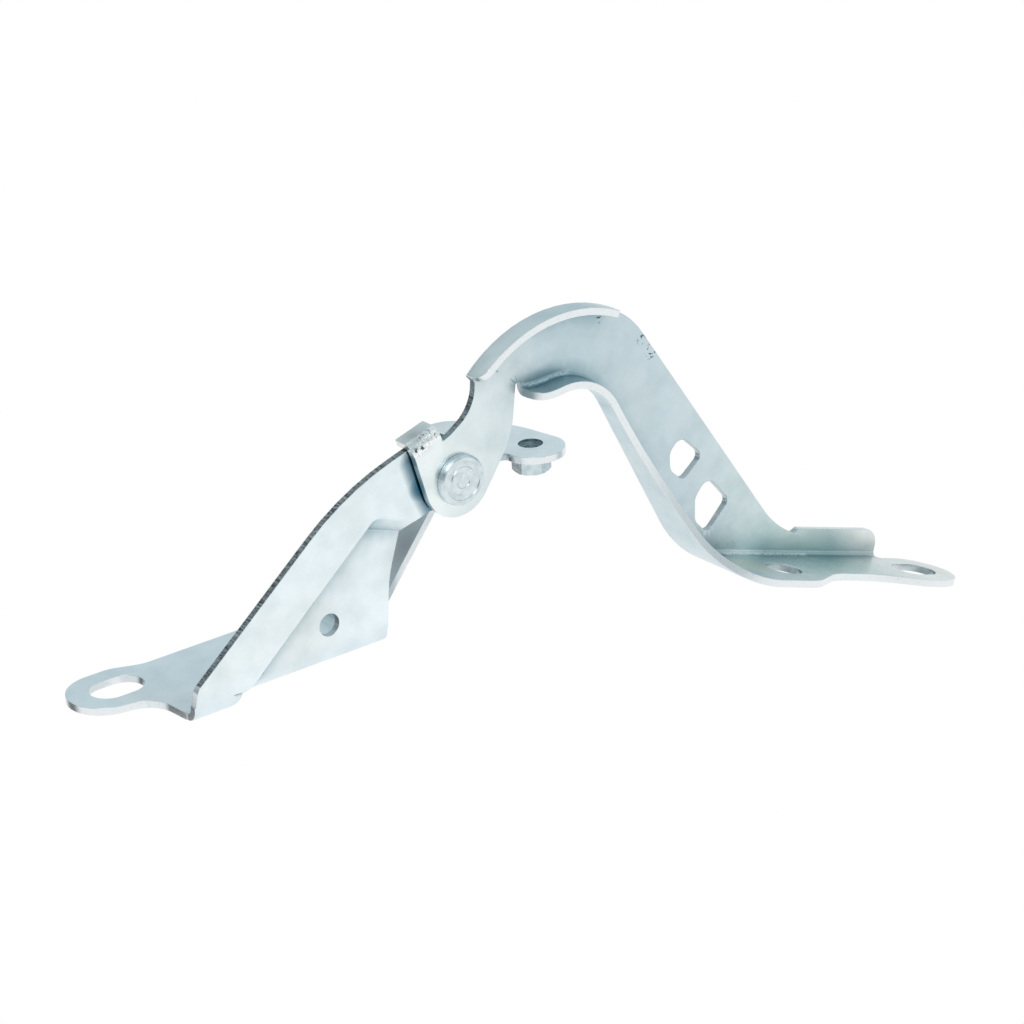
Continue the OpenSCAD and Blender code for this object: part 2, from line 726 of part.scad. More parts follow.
module thrust_washer() {
    color(polymer)
        at_pivot()
            translate([0, 0, -boss_y + side_play])
                difference() {
                    cylinder(d = washer_d, h = washer_t);
                    translate([0, 0, -eps])
                        cylinder(d = rivet_shoulder_d + 2 * run_clear, h = washer_t + 2 * eps);
                }
}

module weld_nut() {
    corner_r = nut_af / 2 / cos(30);
    clear_r = corner_r + 0.2;
    face_r = corner_r - 0.7;
    chamfer_h = 0.5;
    collar_h = sheet_t * 0.7;
    nut_turn = 22;
    under = tab_z - sheet_t;
    color(zinc_bright)
        at_pivot()
            translate([nut_x, under, -nut_y])
                rotate([-90, nut_turn, 0])
                    difference() {
                        union() {
                            intersection() {
                                translate([0, 0, -nut_h])
                                    cylinder(r = corner_r, h = nut_h, $fn = 6);
                                rotate_extrude()
                                    polygon([
                                        [0, -nut_h], [face_r, -nut_h], [clear_r, chamfer_h - nut_h],
                                        [clear_r, 0], [0, 0]]);
                            }
                            cylinder(d = nut_hole_d - 2 * nut_collar_clear, h = collar_h);
                        }
                        translate([0, 0, -2 * nut_h])
                            cylinder(d = nut_core_d, h = 3 * nut_h);
                    }
}

body_bracket();
bonnet_arm();
pivot_rivet();
pivot_bush();
thrust_washer();
weld_nut();
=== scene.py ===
"""Looks of a pressed-steel bonnet hinge: zinc sheet, sheared edges, a rivet and a weld nut."""

import logging
import math
from collections import deque
from dataclasses import dataclass, field
from enum import Enum

import bmesh
import bpy
from mathutils import Matrix, Vector
from mathutils.bvhtree import BVHTree


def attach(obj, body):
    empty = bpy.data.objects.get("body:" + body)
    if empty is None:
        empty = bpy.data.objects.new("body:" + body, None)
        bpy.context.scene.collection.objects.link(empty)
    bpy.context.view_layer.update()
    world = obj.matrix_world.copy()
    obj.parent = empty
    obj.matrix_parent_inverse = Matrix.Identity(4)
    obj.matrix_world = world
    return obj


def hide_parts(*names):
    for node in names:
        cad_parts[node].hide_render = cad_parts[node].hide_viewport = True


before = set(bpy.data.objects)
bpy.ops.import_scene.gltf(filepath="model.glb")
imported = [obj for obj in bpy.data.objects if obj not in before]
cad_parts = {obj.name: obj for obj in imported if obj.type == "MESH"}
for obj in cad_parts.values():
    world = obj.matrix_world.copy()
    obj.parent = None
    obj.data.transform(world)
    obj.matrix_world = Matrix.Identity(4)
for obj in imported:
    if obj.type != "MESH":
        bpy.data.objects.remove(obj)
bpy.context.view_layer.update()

Form = bmesh.types.BMesh
Node = bpy.types.Node
Socket = bpy.types.NodeSocket
Tree = bpy.types.NodeTree
Point = tuple[float, float, float]
Range = tuple[float, float]

LOG = logging.getLogger("bonnet_hinge")
MM = 0.001
BLACK = "000000"
WHITE = "ffffff"

# Vertex attribute of a stamping: how closed-in it is there, from 0 to 1, which the materials paint
# as shade
PAINTED_SHADE_ATTRIBUTE = "painted_bend_shade"

# Rays that gauge how closed-in a point is, for the painted shade, in rings round the way out of the
# sheet:
# the share of each ray along that way, its share across it, and the number of rays
SHADE_RAY_RINGS = ((0.9, 0.44, 5), (0.6, 0.8, 8), (0.25, 0.97, 9))

# Octaves of a noise pattern: a broad drift, an even grain, and a mottle with finer spots in it
DRIFT_OCTAVES = 1.0
GRAIN_OCTAVES = 2.0
MOTTLE_OCTAVES = 3.0

# Most of a noise pattern's values lie between these two
NOISE_LOW = 0.3
NOISE_HIGH = 0.7

FLECK_SOFTNESS = 0.06
RELIEF_STRENGTH = 0.5


class Surface(Enum):
    """Which of a stamping's materials a face takes."""

    SHEET = 0
    CUT_EDGE = 1
    TORN_EDGE = 2


def linear(hex_code: str) -> tuple[float, float, float, float]:
    """Turn an sRGB hex colour into linear RGBA.

    Args:
        hex_code: six hex digits, such as "d5e3e8".

    Returns:
        The linear colour, with alpha 1.
    """
    parts = [int(hex_code[i:i + 2], 16) / 255 for i in (0, 2, 4)]
    return (*(c / 12.92 if c <= 0.04045 else ((c + 0.055) / 1.055) ** 2.4 for c in parts), 1.0)


def per_metre(size_mm: float) -> float:
    """Return the texture scale whose features are size_mm across."""
    return 1.0 / (size_mm * MM)


def feed(node: Node, inputs: dict[str | int, object]) -> None:
    """Link sockets to a node's inputs, or set the inputs' values.

    Args:
        node: a node of any kind.
        inputs: an output socket or a plain value, by the input's name or index.
    """
    for key, value in inputs.items():
        if isinstance(value, Socket):
            node.id_data.links.new(value, node.inputs[key])
        else:
            node.inputs[key].default_value = value


def add(
    tree: Tree, kind: str, out: str | int, inputs: dict[str | int, object], **settings: object
) -> Socket:
    """Add a shader node with its settings and links.

    Args:
        tree: the node tree.
        kind: the node's Blender type, without the word ShaderNode.
        out: the name or index of the output that is wanted.
        inputs: an output socket or a plain value, by the input's name or index.
        settings: the node's own attributes.

    Returns:
        The output that is wanted.
    """
    node = tree.nodes.new(f"ShaderNode{kind}")
    for key, value in settings.items():
        setattr(node, key, value)
    feed(node, inputs)
    return node.outputs[out]


def set_stops(node: Node, stops: list[tuple[float, str]]) -> None:
    """Give a colour ramp its stops.

    Args:
        node: the ramp's node.
        stops: (position, sRGB hex) pairs in order.
    """
    elements = node.color_ramp.elements
    while len(elements) < len(stops):
        elements.new(0.5)
    for element, (position, colour) in zip(elements, stops):
        element.position = position
        element.color = linear(colour)


def start_material(name: str, metallic: float) -> tuple[bpy.types.Material, Tree, Node]:
    """Start a material.

    Args:
        name: the material's name.
        metallic: 1 for a metal, 0 for a plastic.

    Returns:
        The material, its node tree and its shader.
    """
    material = bpy.data.materials.new(name)
    material.use_nodes = True
    tree = material.node_tree
    shader = tree.nodes["Principled BSDF"]
    feed(shader, {"Metallic": metallic})
    return material, tree, shader


@dataclass(frozen=True)
class Patch:
    """A rubbed, galled or stained area of the plate, a patch of painted shade, or a painted
    highlight; round or drawn out along run_mm.
    """

    centre_mm: Point
    reach_mm: float
    tint: str = "3f4346"
    strength: float = 1.6
    run_mm: Point = (0.0, 0.0, 0.0)

    def nearness(self, tree: Tree, at: Socket) -> Socket:
        """Return the patch's strength, which fades to nothing at its reach.

        Args:
            tree: the material's node tree.
            at: Object coordinates.

        Returns:
            The fading strength.
        """
        centre, run = Vector(self.centre_mm) * MM, Vector(self.run_mm) * MM
        offset = add(tree, "VectorMath", "Vector", {0: at, 1: centre}, operation="SUBTRACT")
        if run.length > 0.0:
            unit = run / run.length_squared
            along = add(tree, "VectorMath", "Value", {0: offset, 1: unit}, operation="DOT_PRODUCT")
            share = add(tree, "MapRange", "Result", {"Value": along})
            back = add(tree, "VectorMath", "Vector", {0: run, "Scale": share}, operation="SCALE")
            offset = add(tree, "VectorMath", "Vector", {0: offset, 1: back}, operation="SUBTRACT")
        away = add(tree, "VectorMath", "Value", {0: offset}, operation="LENGTH")
        fade = {"From Max": self.reach_mm * MM, "To Min": self.strength, "To Max": 0.0}
        return add(tree, "MapRange", "Result", {"Value": away, **fade})

    def flecks(self, tree: Tree, at: Socket, size_mm: float, least: float) -> Socket:
        """Return the patch broken into flecks.

        Args:
            tree: the material's node tree.
            at: Object coordinates.
            size_mm: how far apart the flecks lie.
            least: noise below this value leaves the plate bare.

        Returns:
            The share of the patch's tint, from 0 to 1.
        """
        pattern = add(tree, "TexNoise", "Fac",
                      {"Vector": at, "Scale": per_metre(size_mm), "Detail": GRAIN_OCTAVES})
        fleck = add(tree, "MapRange", "Result",
                    {"Value": pattern, "From Min": least, "From Max": least + FLECK_SOFTNESS})
        return add(tree, "Math", "Value", {0: self.nearness(tree, at), 1: fleck},
                   operation="MULTIPLY", use_clamp=True)


@dataclass(frozen=True)
class ZincSheet:
    """Cold-rolled steel, pressed, then bright zinc plated with a clear blue passivation.

    The plate reflects softly. Its cool tint changes along the piece, takes a teal painted shade
    where the sheet is closed in, as in its bends, and turns a little warm where the film is
    thicker.
    The real grain is finer than a pixel, so grain_mm is as coarse as it needs to be to show.
    """

    name: str
    grade_axis: str
    grade: tuple[tuple[float, str], ...]
    scuffs: tuple[Patch, ...] = ()
    galls_and_painted_highlights: tuple[Patch, ...] = ()
    stains_and_painted_shade: tuple[Patch, ...] = ()
    painted_shade_tint: str = "4f7f8d"
    film_tint: str = "dcdcd4"
    roughness: Range = (0.25, 0.35)
    drift_mm: float = 38.0
    film_noise: Range = (0.55, 0.78)
    film_share: float = 0.3
    cloud_mm: float = 9.0
    cloud_noise: Range = (0.40, 0.75)
    cloud_share: float = 0.14
    mottle_mm: float = 3.2
    grain_mm: float = 0.9
    grain_depth_mm: float = 0.003
    scuff_fleck_mm: float = 1.2
    scuff_least: float = 0.57
    gall_and_highlight_fleck_mm: float = 0.7
    gall_and_highlight_least: float = 0.42
    gall_and_highlight_relief_gain: float = 120.0

    def build(self) -> bpy.types.Material:
        """Make the material.

        Returns:
            The material, reading Object coordinates and the piece's painted shade attribute.
        """
        material, tree, shader = start_material(self.name, metallic=1.0)
        at = add(tree, "TexCoord", "Object", {})
        mottle = add(tree, "TexNoise", "Fac",
                     {"Vector": at, "Scale": per_metre(self.mottle_mm), "Detail": MOTTLE_OCTAVES})
        rough = add(tree, "MapRange", "Result",
                    {"Value": mottle, "From Min": NOISE_LOW, "From Max": NOISE_HIGH,
                     "To Min": self.roughness[0], "To Max": self.roughness[1]})
        relief = add(tree, "Bump", "Normal",
                     {"Height": self._height(tree, at), "Strength": RELIEF_STRENGTH,
                      "Distance": self.grain_depth_mm * MM})
        feed(shader, {"Base Color": self._colour(tree, at), "Roughness": rough, "Normal": relief})
        return material

    def _colour(self, tree: Tree, at: Socket) -> Socket:
        """Return the plate's tint under its film, clouds, painted shade where the sheet is closed
        in, stains and patches of painted shade, and flecks of galls, scuffs and painted highlight.

        Args:
            tree: the material's node tree.
            at: Object coordinates.

        Returns:
            The colour.
        """
        low, high = self.grade[0][0], self.grade[-1][0]
        place = add(tree, "SeparateXYZ", self.grade_axis, {0: at})
        along = add(tree, "MapRange", "Result",
                    {"Value": place, "From Min": low * MM, "From Max": high * MM})
        colour = add(tree, "ValToRGB", "Color", {"Fac": along})
        set_stops(colour.node, [((mm - low) / (high - low), tint) for mm, tint in self.grade])
        drift = add(tree, "TexNoise", "Fac",
                    {"Vector": at, "Scale": per_metre(self.drift_mm), "Detail": DRIFT_OCTAVES})
        film = add(tree, "MapRange", "Result",
                   {"Value": drift, "From Min": self.film_noise[0], "From Max": self.film_noise[1],
                    "To Max": self.film_share})
        clouds = add(tree, "TexNoise", "Fac",
                     {"Vector": at, "Scale": per_metre(self.cloud_mm), "Detail": MOTTLE_OCTAVES})
        cloud = add(tree, "MapRange", "Result",
                    {"Value": clouds, "From Min": self.cloud_noise[0],
                     "From Max": self.cloud_noise[1], "To Max": self.cloud_share})
        # Painted shade: the teal deepens where the sheet is closed in; the random clouds above take
        # the same teal
        bend_shade = add(tree, "Attribute", "Fac", {}, attribute_name=PAINTED_SHADE_ATTRIBUTE)
        layers = [(film, self.film_tint), (cloud, self.painted_shade_tint), (bend_shade, self.painted_shade_tint)]
        for patch in self.stains_and_painted_shade:
            layers.append((patch.nearness(tree, at), patch.tint))
        for patch in self.galls_and_painted_highlights:
            flecks = patch.flecks(tree, at, self.gall_and_highlight_fleck_mm, self.gall_and_highlight_least)
            layers.append((flecks, patch.tint))
        for patch in self.scuffs:
            flecks = patch.flecks(tree, at, self.scuff_fleck_mm, self.scuff_least)
            layers.append((flecks, patch.tint))
        for share, tint in layers:
            colour = add(tree, "Mix", 2, {0: share, 6: colour, 7: linear(tint)}, data_type="RGBA")
        return colour

    def _height(self, tree: Tree, at: Socket) -> Socket:
        """Return the plate's grain, which is torn up where the press galled a bend and under the
        painted highlight of the flange's fold.

        Args:
            tree: the material's node tree.
            at: Object coordinates.

        Returns:
            The height, as a share of the grain's depth.
        """
        height = add(tree, "TexNoise", "Fac",
                     {"Vector": at, "Scale": per_metre(self.grain_mm), "Detail": GRAIN_OCTAVES})
        for patch in self.galls_and_painted_highlights:
            gain = add(tree, "Math", "Value",
                       {0: patch.nearness(tree, at), 1: self.gall_and_highlight_relief_gain, 2: 1.0},
                       operation="MULTIPLY_ADD")
            height = add(tree, "Math", "Value", {0: height, 1: gain}, operation="MULTIPLY")
        return height


@dataclass(frozen=True)
class ShearedEdge:
    """The cut edge of pressed sheet under zinc: burnished metal with torn streaks or flecks.

    Real tears lie a tenth of a millimetre apart. tear_mm is as coarse as it needs to be to show.
    """

    name: str
    bright: str
    torn: str
    torn_from: float
    roughness: float = 0.42
    tear_mm: float = 0.8
    tear_depth_mm: float = 0.02
    streak: float = 1.0
    soft: float = 0.08
    painted_shade_tint: str = "8fa4ab"
    painted_shade_range: Range = (0.01, 0.12)
    painted_shade_share: float = 0.65

    def build(self) -> bpy.types.Material:
        """Make the material.

        Returns:
            The material, its tears drawn out along the pivot axis by streak.
        """
        material, tree, shader = start_material(self.name, metallic=1.0)
        at = add(tree, "TexCoord", "Object", {})
        drawn = add(tree, "Mapping", "Vector",
                    {"Vector": at, "Scale": (1.0, 1.0 / self.streak, 1.0)})
        tear = add(tree, "TexNoise", "Fac",
                   {"Vector": drawn, "Scale": per_metre(self.tear_mm), "Detail": MOTTLE_OCTAVES})
        metal = add(tree, "ValToRGB", "Color", {"Fac": tear})
        set_stops(metal.node, [(self.torn_from - self.soft, self.torn),
                               (self.torn_from + self.soft, self.bright)])
        # Painted shade: the cut edge turns grey blue where the piece is closed in, as in its slot
        # and holes
        bend_shade = add(tree, "Attribute", "Fac", {}, attribute_name=PAINTED_SHADE_ATTRIBUTE)
        edge_shade = add(tree, "MapRange", "Result",
                   {"Value": bend_shade, "From Min": self.painted_shade_range[0], "From Max": self.painted_shade_range[1],
                    "To Max": self.painted_shade_share})
        colour = add(tree, "Mix", 2, {0: edge_shade, 6: metal, 7: linear(self.painted_shade_tint)},
                     data_type="RGBA")
        relief = add(tree, "Bump", "Normal",
                     {"Height": tear, "Strength": RELIEF_STRENGTH,
                      "Distance": self.tear_depth_mm * MM})
        feed(shader, {"Base Color": colour, "Roughness": self.roughness, "Normal": relief})
        return material


@dataclass(frozen=True)
class PlainMetal:
    """A small turned, headed or sintered metal piece, blotched from shade to tint."""

    name: str
    tint: str
    shade: str
    roughness: Range
    blotch_noise: Range = (0.35, 0.6)
    mottle_mm: float = 2.0
    grain_mm: float = 0.5
    grain_depth_mm: float = 0.012

    def build(self) -> bpy.types.Material:
        """Make the material.

        Returns:
            The material, mottled between its tint and its shade.
        """
        material, tree, shader = start_material(self.name, metallic=1.0)
        at = add(tree, "TexCoord", "Object", {})
        mottle = add(tree, "TexNoise", "Fac",
                     {"Vector": at, "Scale": per_metre(self.mottle_mm), "Detail": MOTTLE_OCTAVES})
        colour = add(tree, "ValToRGB", "Color", {"Fac": mottle})
        set_stops(colour.node, list(zip(self.blotch_noise, (self.shade, self.tint))))
        rough = add(tree, "MapRange", "Result",
                    {"Value": mottle, "From Min": NOISE_LOW, "From Max": NOISE_HIGH,
                     "To Min": self.roughness[0], "To Max": self.roughness[1]})
        grain = add(tree, "TexNoise", "Fac",
                    {"Vector": at, "Scale": per_metre(self.grain_mm), "Detail": GRAIN_OCTAVES})
        relief = add(tree, "Bump", "Normal",
                     {"Height": grain, "Strength": RELIEF_STRENGTH,
                      "Distance": self.grain_depth_mm * MM})
        feed(shader, {"Base Color": colour, "Roughness": rough, "Normal": relief})
        return material


@dataclass(frozen=True)
class MouldedNylon:
    """Black moulded nylon: dull, with a soft sheen and a spark-eroded grain."""

    name: str
    tint: str
    roughness: Range = (0.5, 0.62)
    grain_mm: float = 0.35
    grain_depth_mm: float = 0.02

    def build(self) -> bpy.types.Material:
        """Make the material.

        Returns:
            The material, its roughness and relief from one grain.
        """
        material, tree, shader = start_material(self.name, metallic=0.0)
        at = add(tree, "TexCoord", "Object", {})
        grain = add(tree, "TexNoise", "Fac",
                    {"Vector": at, "Scale": per_metre(self.grain_mm), "Detail": GRAIN_OCTAVES})
        rough = add(tree, "MapRange", "Result",
                    {"Value": grain, "From Min": NOISE_LOW, "From Max": NOISE_HIGH,
                     "To Min": self.roughness[0], "To Max": self.roughness[1]})
        relief = add(tree, "Bump", "Normal",
                     {"Height": grain, "Strength": RELIEF_STRENGTH,
                      "Distance": self.grain_depth_mm * MM})
        feed(shader, {"Base Color": linear(self.tint), "Roughness": rough, "Normal": relief})
        return material


# Bright zinc plate: a soft pale blue shine, with a dark teal band of painted shadow and reflection
# beside the arm's eye, and grey painted shade on the strut
BRACKET_ZINC = ZincSheet(
    "zinc_plated_bracket",
    grade_axis="Z",
    grade=((2.0, "e2eff4"), (9.0, "eef8fc"), (70.0, "e6f2f5")),
    stains_and_painted_shade=(
        # Painted shadow and reflection: the dark teal band beside the arm's eye
        Patch((90.2, -38.3, 60.5), 5.2, "2a6a82", 2.0, (2.9, 0.0, -9.5)),
        Patch((93.1, -38.3, 51.0), 5.2, "2a6a82", 2.0, (3.4, 0.0, -7.5)),
        # Painted shade: grey on the strut
        Patch((96.0, -22.0, 27.0), 16.0, "a3aaab", 0.8),
    ),
)

# The same plate on the arm: bluest in the neck, pale at both ends, galled in its tight bends, with
# a painted highlight along the flange's fold and grey painted shade on the stop tab's top, and
# scuffed along its edge
ARM_ZINC = ZincSheet(
    "zinc_plated_arm",
    grade_axis="X",
    grade=((98.0, "eef6f6"), (125.0, "d9e5e8"), (150.0, "c6d8de"), (200.0, "cddce1"),
           (235.0, "d3e2e2"), (290.0, "fafaf6")),
    scuffs=(
        Patch((180.8, -38.6, 77.6), 2.4),
        Patch((184.4, -38.6, 72.2), 3.4),
        Patch((122.0, -38.6, 83.0), 2.2),
        Patch((164.3, -38.6, 88.9), 2.0),
        Patch((89.9, -38.5, 64.3), 2.0, "596165", 1.4, (9.1, 0.3, 4.5)),
        Patch((93.0, -36.9, 68.2), 1.7, "6d767a", 1.2, (4.0, 0.0, 1.9)),
    ),
    galls_and_painted_highlights=(
        Patch((89.9, -38.5, 64.3), 2.4, "fbfdfd", 2.2, (9.1, 0.3, 4.5)),
        # Painted highlight: a bright line along the fold between rib and flange
        Patch((212.0, -39.3, -7.3), 1.5, "f4fafa", 1.4, (35.0, 0.0, -11.1)),
        Patch((132.5, -39.3, 74.7), 1.1, "b4ccd3", 1.2, (18.0, 0.3, 0.3)),
    ),
    stains_and_painted_shade=(
        Patch((213.0, -51.0, -4.0), 13.0, "e6e1c4", 0.7),
        Patch((252.0, -49.0, -20.0), 26.0, "8fbcb9", 0.5),
        Patch((224.0, -42.0, -8.0), 13.0, "86b6b4", 0.4),
        # Painted shade: grey on the stop tab's top
        Patch((92.5, -34.5, 69.0), 8.0, "a9b2b4", 0.9),
        Patch((220.0, -40.0, -6.0), 11.0, "dbe9ea", 0.8),
        Patch((259.0, -38.6, -17.0), 12.0, "6f9aa3", 0.4),
    ),
)

# Sheet burnished by the punch and plated after it: a smooth pale band round outline and holes
BURNISHED_EDGE = ShearedEdge(
    "burnished_zinc_edge", bright="e9eef0", torn="dbe2e5", torn_from=0.36, roughness=0.28
)

# Sheet that broke away instead: dull, with dark streaks across its thickness
TORN_EDGE = ShearedEdge(
    "torn_zinc_edge", bright="aeb8bc", torn="3a3f41", torn_from=0.5, roughness=0.5,
    tear_mm=0.45, tear_depth_mm=0.03, streak=7.0, soft=0.16,
)

# Zinc-plated rivet with its head coined flat: smooth and bright, with faint blotches
RIVET_ZINC = PlainMetal(
    "coined_zinc_rivet", tint="dce7eb", shade="c8d4d8", roughness=(0.22, 0.34), mottle_mm=2.4
)

# Zinc-plated weld nut: bright, and a little bluer than the rivet
NUT_ZINC = PlainMetal("zinc_weld_nut", tint="d3e0e4", shade="bccdd3", roughness=(0.2, 0.3))

# Sintered bronze: dull brown gold, speckled by its pores
BUSH_BRONZE = PlainMetal(
    "sintered_bronze", tint="a5854f", shade="8d6f3e", roughness=(0.45, 0.6), mottle_mm=0.6
)

# Moulded nylon: nearly black and dull, and its black is also painted shade for the gap it fills
WASHER_NYLON = MouldedNylon("moulded_nylon", tint="1d1e1f")

# Kinks in the outline of the base tab and the base fold: the point that each closes up to, and
# how far from it the stray points lie
BRACKET_KINKS_MM = (
    ((-4.1, -12.84, 0.0), 0.98),
    ((-4.1, -12.84, 2.5), 0.98),
    ((5.3, -29.8, 0.01), 0.36),
    ((5.3, -29.8, 2.49), 0.36),
)

# Low and high corners of the boxes that hold the torn outline of each web
BRACKET_TORN_MM = ((-20.0, -35.5, 12.0), (110.0, -25.0, 80.0))
ARM_TORN_MM = ((100.9, -38.7, 65.9), (118.0, -36.0, 87.0))


def finishes(sheet: ZincSheet) -> dict[Surface, ZincSheet | ShearedEdge]:
    """Return a stamping's finish for each kind of surface."""
    return {
        Surface.SHEET: sheet, Surface.CUT_EDGE: BURNISHED_EDGE, Surface.TORN_EDGE: TORN_EDGE
    }


@dataclass
class Stamping:
    """A piece pressed from one sheet: its faces are plated, its outline and holes are sheared.

    The outline of the web is torn inside torn_box_mm, where it faces against +X by torn_facing or
    more and along Y by less than torn_slant. Stray points within each reach of kinks_mm close up
    to its point.
    """

    node: str
    body: str
    slot: str
    finishes: dict[Surface, ZincSheet | ShearedEdge]
    torn_box_mm: tuple[Point, Point]
    torn_facing: float = 0.25
    torn_slant: float = 0.5
    gauge_mm: float = 2.5
    gauge_slack_mm: float = 0.35
    gauge_start_mm: float = 0.02
    step_mm: float = 0.026
    edge_round_mm: float = 0.18
    edge_segments: int = 2
    mesh_step_mm: float = 5.0
    mesh_rounds: int = 6
    flow_deg: float = 22.0
    flat_deg: float = 0.8
    corner_deg: float = 40.0
    sharp_deg: float = 60.0
    sliver_mm2: float = 0.5
    thread_mm2: float = 0.001
    shade_ray_start_mm: float = 0.05
    shade_near_mm: float = 7.5
    shade_far_mm: float = 42.0
    painted_shade_gain: Range = (1.4, 0.42)
    kinks_mm: tuple[tuple[Point, float], ...] = ()
    obj: bpy.types.Object | None = field(default=None, init=False)

    def build(self) -> bpy.types.Object:
        """Make the dressed piece from the frame's node.

        Returns:
            The new object, which stands for the node.
        """
        mesh = bpy.data.meshes.new(f"{self.node}_sheet")
        form = self._closed_form()
        self._mark_surfaces(form, BVHTree.FromBMesh(form))
        self._round_corners(form)
        self._refine(form)
        self._keep_sharp(form)
        self._paint_shade(form, BVHTree.FromBMesh(form))
        form.to_mesh(mesh)
        form.free()
        for surface in Surface:
            mesh.materials.append(self.finishes[surface].build())
        mesh.shade_smooth()
        self.obj = bpy.data.objects.new(f"{self.node}_sheet", mesh)
        bpy.context.scene.collection.objects.link(self.obj)
        flat = self.obj.modifiers.new("flat_faces", "WEIGHTED_NORMAL")
        flat.mode = "FACE_AREA"
        flat.keep_sharp = True
        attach(self.obj, self.body)
        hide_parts(self.node)
        return self.obj

    def _closed_form(self) -> Form:
        """Copy the node's triangles, with hairline steps and the outline's kinks closed.

        Returns:
            The merged copy.
        """
        form = bmesh.new()
        form.from_mesh(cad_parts[self.node].data)
        bmesh.ops.remove_doubles(form, verts=form.verts, dist=self.step_mm * MM)
        for centre_mm, reach_mm in self.kinks_mm:
            centre = Vector(centre_mm) * MM
            near = [vert for vert in form.verts if (vert.co - centre).length < reach_mm * MM]
            bmesh.ops.pointmerge(form, verts=near, merge_co=centre)
        bmesh.ops.dissolve_degenerate(form, edges=form.edges, dist=self.step_mm * MM)
        bmesh.ops.triangulate(form, faces=form.faces)
        form.normal_update()
        return form

    def _regions(self, form: Form) -> list[list[bmesh.types.BMFace]]:
        """Gather the faces that flow into each other without a corner.

        Args:
            form: the piece.

        Returns:
            The regions, each a list of faces.
        """
        limit = math.radians(self.flow_deg)
        seen: set[bmesh.types.BMFace] = set()
        regions = []
        for first in form.faces:
            if first in seen:
                continue
            seen.add(first)
            region, waiting = [], deque([first])
            while waiting:
                face = waiting.popleft()
                region.append(face)
                for edge in face.edges:
                    if edge.calc_face_angle(math.pi) > limit:
                        continue
                    for other in edge.link_faces:
                        if other not in seen:
                            seen.add(other)
                            waiting.append(other)
            regions.append(region)
        return regions

    def _mark_surfaces(self, form: Form, tree: BVHTree) -> None:
        """Tell sheet faces from cut edges: behind a sheet face lies one gauge of steel.

        Args:
            form: the piece, whose slivers get a tag.
            tree: the same piece, for casting rays.
        """
        for region in self._regions(form):
            area = sum(face.calc_area() for face in region)
            sheet = sum(face.calc_area() for face in region if self._is_gauge(face, tree))
            small = area < self.sliver_mm2 * MM * MM
            for face in region:
                face.tag = small
                cut = Surface.TORN_EDGE if self._is_torn(face) else Surface.CUT_EDGE
                face.material_index = (Surface.SHEET if sheet > area / 2 else cut).value

    def _is_gauge(self, face: bmesh.types.BMFace, tree: BVHTree) -> bool:
        """Tell whether one gauge of steel lies behind a face.

        Args:
            face: a face of the piece.
            tree: the piece, for casting rays.

        Returns:
            Whether the steel's depth there is the gauge.
        """
        start = face.calc_center_median() - face.normal * (self.gauge_start_mm * MM)
        _, _, _, depth = tree.ray_cast(start, -face.normal)
        return depth is not None and abs(depth - self.gauge_mm * MM) < self.gauge_slack_mm * MM

    def _is_torn(self, face: bmesh.types.BMFace) -> bool:
        """Tell whether a cut edge is part of the torn outline.

        Args:
            face: a face of the piece.

        Returns:
            Whether it lies in the torn box and faces the right way.
        """
        low, high = self.torn_box_mm
        middle = face.calc_center_median()
        inside = all(a * MM < c < b * MM for a, c, b in zip(low, middle, high))
        facing = face.normal.x < -self.torn_facing and abs(face.normal.y) < self.torn_slant
        return inside and facing

    def _round_corners(self, form: Form) -> None:
        """Break the sheet's corners as tumbling and plating leave them, but not those of slivers.

        Args:
            form: the piece, its slivers tagged.
        """
        sliver = form.faces.layers.int.new("sliver")
        for face in form.faces:
            face[sliver] = face.tag
        bmesh.ops.dissolve_limit(
            form, angle_limit=math.radians(self.flat_deg), use_dissolve_boundaries=False,
            verts=form.verts, edges=form.edges, delimit={"MATERIAL"},
        )
        corners = [
            edge for edge in form.edges
            if edge.calc_face_angle(0.0) > math.radians(self.corner_deg)
            and not any(face[sliver] for face in edge.link_faces)
        ]
        form.faces.layers.int.remove(sliver)
        bmesh.ops.bevel(
            form, geom=corners, offset=self.edge_round_mm * MM, offset_type="OFFSET",
            affect="EDGES", segments=self.edge_segments, profile=0.5, material=-1,
            clamp_overlap=False, loop_slide=True,
        )
        bmesh.ops.triangulate(form, faces=form.faces)

    def _refine(self, form: Form) -> None:
        """Split long edges, so that the vertices can store the bends' tint.

        The edges of thread-thin faces stay whole, because splitting those tears the mesh.

        Args:
            form: the piece, in triangles.
        """
        for _ in range(self.mesh_rounds):
            long_edges = [
                edge for edge in form.edges
                if edge.calc_length() > self.mesh_step_mm * MM
                and all(face.calc_area() > self.thread_mm2 * MM * MM for face in edge.link_faces)
            ]
            if not long_edges:
                break
            bmesh.ops.subdivide_edges(form, edges=long_edges, cuts=1, use_grid_fill=False)
            bmesh.ops.triangulate(form, faces=[f for f in form.faces if len(f.verts) > 3])

    def _keep_sharp(self, form: Form) -> None:
        """Keep the corners sharp that weren't rounded.

        Args:
            form: the piece.
        """
        form.normal_update()
        for edge in form.edges:
            edge.smooth = edge.calc_face_angle(0.0) < math.radians(self.sharp_deg)

